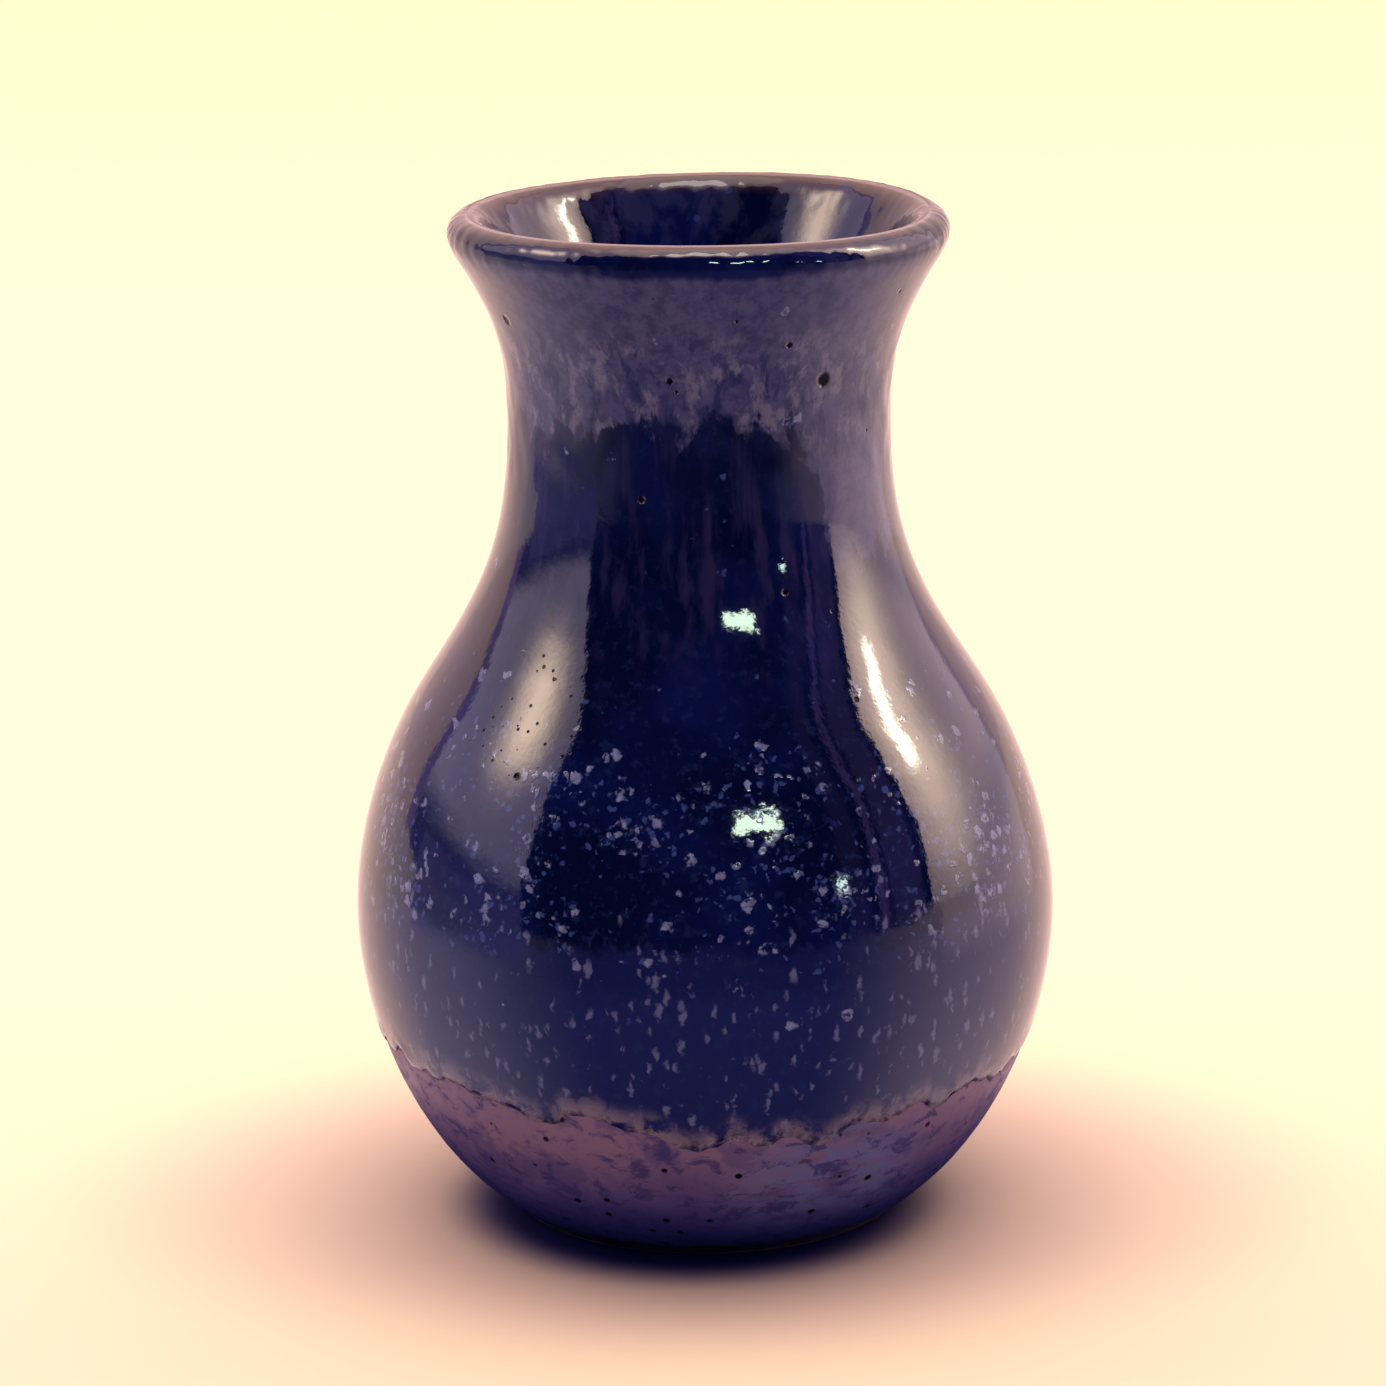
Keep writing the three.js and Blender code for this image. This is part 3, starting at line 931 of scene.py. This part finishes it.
def mirrored_panels(graph, direction, light):
    """The panels to the left and right, each with a lamp's glow, and the seams past their outer edges."""
    azimuth, elevation = direction
    left = graph.window(azimuth, *LEFT_PANEL, 1.5)
    shade = graph.mix(graph.step(elevation, 4.5, 13.0), LEFT_PANEL_LOW, LEFT_PANEL_HIGH)
    light = graph.mix(left, light, shade)
    left_glow = graph.times(left, glow(graph, direction, (-86.0, 36.0), (11.0, 9.5)))
    light = graph.mix(left_glow, light, LEFT_GLOW)

    right = graph.window(azimuth, *RIGHT_PANEL, 2.0)
    shade = graph.mix(graph.step(elevation, 0.0, 12.0), RIGHT_PANEL_LOW, RIGHT_PANEL_HIGH)
    light = graph.mix(right, light, shade)
    right_glow = graph.times(right, glow(graph, direction, (95.0, 30.0), (13.0, 22.0)))
    light = graph.mix(right_glow, light, RIGHT_GLOW)
    core = patch(graph, direction, (91.0, 96.0), (25.0, 44.0), 4.0)
    light = graph.mix(core, light, RIGHT_GLOW_CORE)

    left_seam = patch(graph, direction, (-123.0, -118.5), (0.0, 60.0), 1.5)
    light = graph.mix(graph.times(left_seam, 0.85), light, LEFT_SEAM)
    right_seam = patch(graph, direction, (137.0, 141.0), (-10.0, 60.0), 2.5)
    return graph.mix(graph.times(right_seam, 0.5), light, RIGHT_SEAM)


def mirrored_opening(graph, direction, light):
    """The dark opening in front, with faint streaks down its right side."""
    azimuth, elevation = direction
    opening = graph.times(graph.window(azimuth, *OPENING, 1.5), graph.fade(elevation, 58.0, 64.0))
    light = graph.mix(opening, light, OPENING_DARK)
    for start, end, strength in STREAKS:
        streak = graph.times(graph.window(azimuth, start, end, 2.0), opening)
        light = graph.mix(graph.times(streak, strength), light, STREAK)
    return light


def mirrored_lamps(graph, direction, ripple, light):
    """Two lamps in the opening, with outlines that the ripple makes ragged, and the lit top of the tent."""
    azimuth, elevation = direction
    rippled = (graph.add(azimuth, graph.times(ripple, -6.0)), graph.add(elevation, graph.times(ripple, 3.0)))
    light = graph.mix(patch(graph, rippled, (12.5, 30.5), (27.3, 32.6), 0.8), light, LARGE_LAMP)
    light = graph.mix(patch(graph, rippled, (45.0, 49.5), (11.2, 12.8), 0.8), light, SMALL_LAMP)
    light = graph.mix(graph.step(elevation, 64.0, 68.0), light, TOP_CLOTH)
    return graph.mix(patch(graph, direction, (-40.0, 50.0), (68.0, 88.0), 3.0), light, TOP_LAMP)


def mirrored_floor(graph, direction):
    """The floor in the glaze's mirror: shaded by the vase below and in front, paler beside and behind it."""
    azimuth, elevation = direction
    side = graph.mix(graph.step(azimuth, -40.0, 40.0), SIDE_FLOOR_LEFT, SIDE_FLOOR_RIGHT)
    front = graph.mix(graph.step(elevation, -22.0, -10.0), FRONT_FLOOR_NEAR, FRONT_FLOOR_FAR)
    turned = graph.math("ABSOLUTE", azimuth)
    colour = graph.mix(graph.step(turned, 36.0, 98.0), front, side)
    colour = graph.mix(graph.step(turned, 98.0, 150.0), colour, BACK_FLOOR)
    return graph.mix(graph.step(elevation, -70.0, -32.0), FLOOR_UNDER_VASE, colour)


def mirrored_tent(graph, direction, ripple):
    """What the glaze mirrors: a lit tent with side panels, a dark front opening, lamps and a floor."""
    azimuth, elevation = direction
    light = graph.mix(graph.step(elevation, 5.0, 60.0), LOW_CLOTH, HIGH_CLOTH)
    light = mirrored_panels(graph, direction, light)
    light = mirrored_opening(graph, direction, light)
    light = mirrored_lamps(graph, direction, ripple, light)

    below = graph.fade(elevation, -1.5, 0.5)
    light = graph.mix(below, light, mirrored_floor(graph, direction))
    low_right = graph.times(
        graph.window(azimuth, 83.0, 138.0, 4.0),
        graph.window(elevation, -11.0, 1.0, 9.0),
    )
    light = graph.mix(graph.times(low_right, 0.5), light, LOW_RIGHT_SHINE)
    low_left = graph.times(
        graph.window(azimuth, -111.0, -61.0, 1.5),
        graph.step(elevation, -13.0, -5.0),
        graph.fade(elevation, 3.8, 5.2),
    )
    return graph.mix(graph.times(low_left, 0.9), light, LOW_LEFT_SHADE)


def world():
    """Soft light for everything, the tent in the glaze's mirror, and plain cream past the floor's end."""
    made = bpy.data.worlds.new("light_tent")
    made.use_nodes = True
    bpy.context.scene.world = made
    graph = Graph(made.node_tree)
    toward = graph.node("ShaderNodeTexCoord", {}, output=0)
    x, y, z = graph.split(toward)
    azimuth = graph.math("DEGREES", graph.math("ARCTAN2", x, graph.times(y, -1.0)))
    elevation = graph.math("DEGREES", graph.math("ARCSINE", z))
    direction = (azimuth, elevation)
    ripple = graph.math("SUBTRACT", graph.noise(toward, 0.045, 1.0, 0.5), 0.5)
    path = graph.node("ShaderNodeLightPath", {}).node.outputs
    soft = soft_light(graph, direction)
    sharp = mirrored_tent(graph, direction, ripple)
    colour = graph.mix(path["Is Glossy Ray"], soft, sharp)
    colour = graph.mix(path["Is Camera Ray"], colour, SEEN_CREAM)
    graph.feed(made.node_tree.nodes["Background"].inputs["Color"], colour)


# ---------------------------------------------------------------------------------------------------------
# Camera
# ---------------------------------------------------------------------------------------------------------

AIM_HEIGHT = 77.5 * MM
CAMERA_DISTANCE = 741.9 * MM
CAMERA_DOWN = 14.81 * DEG
CAMERA_ROLL = -0.70 * DEG
SENSOR_WIDTH, FOCAL_LENGTH = 36, 129.87
SHIFT_ACROSS = -0.0067


def camera():
    """Looks down on the vase from straight in front of it, a little rolled."""
    data = bpy.data.cameras.new("camera")
    data.sensor_width = SENSOR_WIDTH
    data.lens = FOCAL_LENGTH
    data.shift_x = SHIFT_ACROSS
    data.clip_start, data.clip_end = 0.01, 20
    made = bpy.data.objects.new("camera", data)
    bpy.context.scene.collection.objects.link(made)
    toward_camera = Vector((0, -math.cos(CAMERA_DOWN), math.sin(CAMERA_DOWN)))
    made.location = Vector((0, 0, AIM_HEIGHT)) + CAMERA_DISTANCE * toward_camera
    level = Euler((90 * DEG - CAMERA_DOWN, 0, 0)).to_quaternion()
    roll = Euler((0, 0, CAMERA_ROLL)).to_quaternion()
    made.rotation_mode = "QUATERNION"
    made.rotation_quaternion = level @ roll
    bpy.context.scene.camera = made


# ---------------------------------------------------------------------------------------------------------
# The scene
# ---------------------------------------------------------------------------------------------------------

def place_piece(piece, node, material):
    """Puts a finished piece on the body, in the place of the CAD node that it stands for."""
    piece.data.materials.append(material)
    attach(piece, "root")
    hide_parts(node)


camera()
place_piece(clay_body(), "clay_body", clay_material())
place_piece(base_wash(), "base_wash", wash_material())
place_piece(outer_glaze(), "outer_glaze", outer_glaze_material())
place_piece(liner_glaze(), "liner_glaze", liner_material())

floor()
mirrored_shade()
world()
bpy.context.scene.view_settings.view_transform = "Standard"
